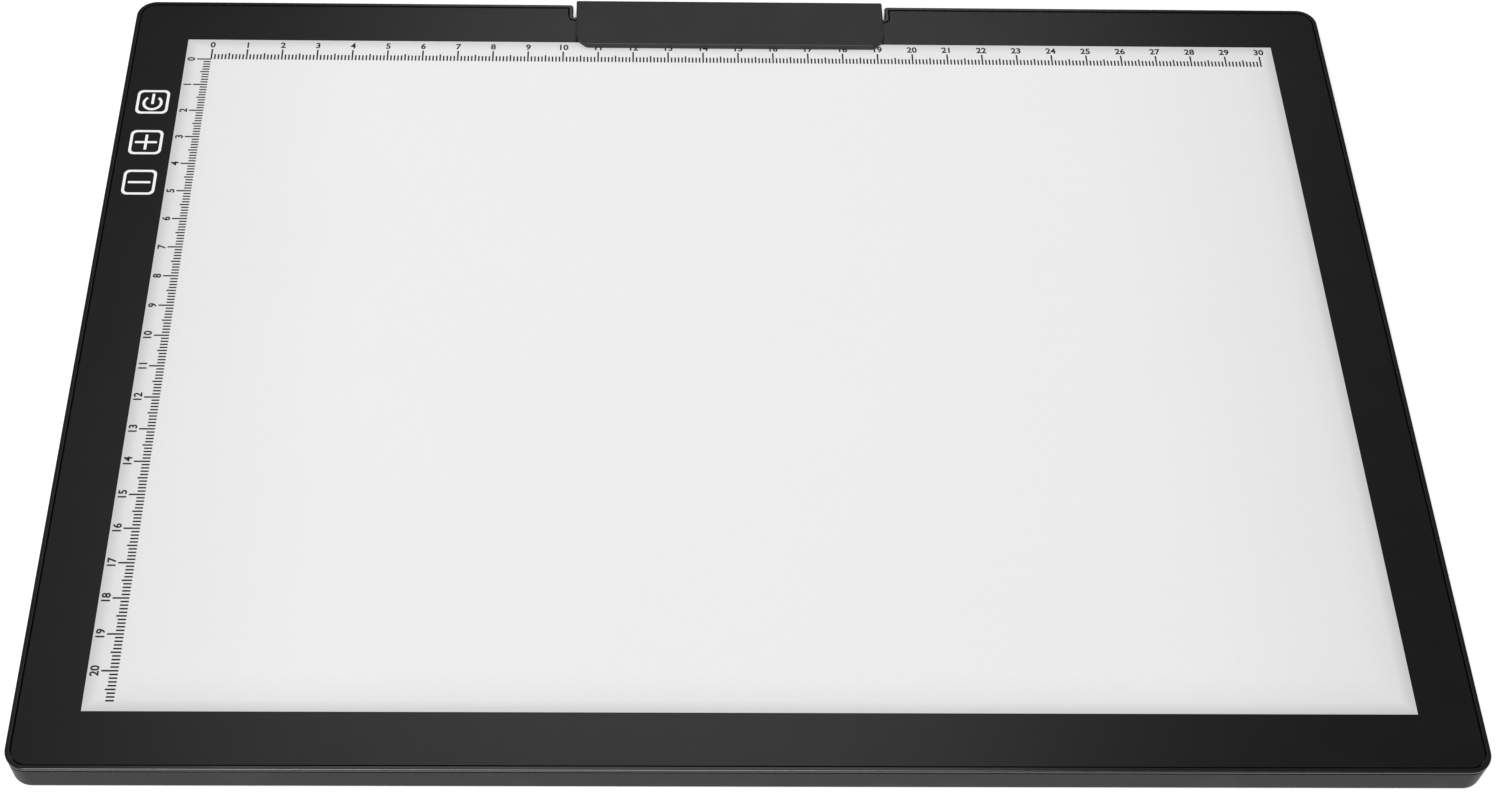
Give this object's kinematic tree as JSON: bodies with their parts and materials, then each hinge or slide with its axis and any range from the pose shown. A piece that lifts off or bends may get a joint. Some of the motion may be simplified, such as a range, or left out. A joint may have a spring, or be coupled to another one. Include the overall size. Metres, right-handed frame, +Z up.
{
  "type": "light box",
  "caption": "Flat A4 tracing light box: black framed opal drawing panel with a centimetre ruler, touch keys and a sprung paper clip hinged in its rear edge.",
  "frame": {"origin": "centre of the base, on the surface that the rubber feet stand on", "axes": "+X along the long front edge to the right, +Y from the front edge to the rear edge with the clip, +Z up out of the drawing surface"},
  "size_m": [0.3422, 0.249, 0.0121],
  "materials": {
    "black_shell": "satin moulded black plastic",
    "black_clip": "satin moulded charcoal plastic",
    "opal_panel": "opal acrylic sheet with a satin black printed border",
    "white_film": "matt white film",
    "clear_acrylic": "polished clear acrylic",
    "white_board": "white solder mask",
    "green_board": "green solder mask",
    "sensing_foam": "conductive foam",
    "plated_steel": "nickel-plated steel",
    "spring_steel": "drawn spring wire",
    "battery_foil": "satin laminated foil pouch",
    "lead_jacket": "satin wire jacket",
    "black_rubber": "matt moulded rubber"
  },
  "bodies": {
    "pad": {"lower_shell": "black_shell", "top_frame": "black_shell", "drawing_panel": "opal_panel", "diffuser_film": "white_film", "light_guide": "clear_acrylic", "reflector_sheet": "white_film", "led_strip_front": "white_board", "led_strip_rear": "white_board", "control_board": "green_board", "touch_pad_power": "sensing_foam", "touch_pad_plus": "sensing_foam", "touch_pad_minus": "sensing_foam", "usb_socket": "plated_steel", "charge_indicator": "clear_acrylic", "battery_cell": "battery_foil", "battery_lead": "lead_jacket", "led_lead_rear": "lead_jacket", "led_lead_front": "lead_jacket", "foot_front_left": "black_rubber", "foot_front_right": "black_rubber", "foot_rear_left": "black_rubber", "foot_rear_right": "black_rubber", "hinge_pin_left": "plated_steel", "hinge_pin_right": "plated_steel", "clip_spring_left": "spring_steel", "clip_spring_right": "spring_steel", "shell_screw_front_left": "plated_steel", "shell_screw_front_mid_left": "plated_steel", "shell_screw_front_mid_right": "plated_steel", "shell_screw_front_right": "plated_steel", "shell_screw_side_left": "plated_steel", "shell_screw_side_right": "plated_steel", "shell_screw_rear_left": "plated_steel", "shell_screw_rear_mid_left": "plated_steel", "shell_screw_rear_mid_right": "plated_steel", "shell_screw_rear_right": "plated_steel"},
    "clip": {"clip_bar": "black_clip", "clip_grip_strip": "black_rubber"}
  },
  "joints": [
    {"name": "clip_hinge", "type": "hinge", "parent": "pad", "child": "clip", "pos_m": [0, 0.1216, 0.0048], "axis": [-1, 0, 0], "range_deg": [0, 60], "stiffness_Nm_per_rad": 0.02, "springref_deg": -20.05, "deforming": ["clip_spring_left", "clip_spring_right"]}
  ]
}
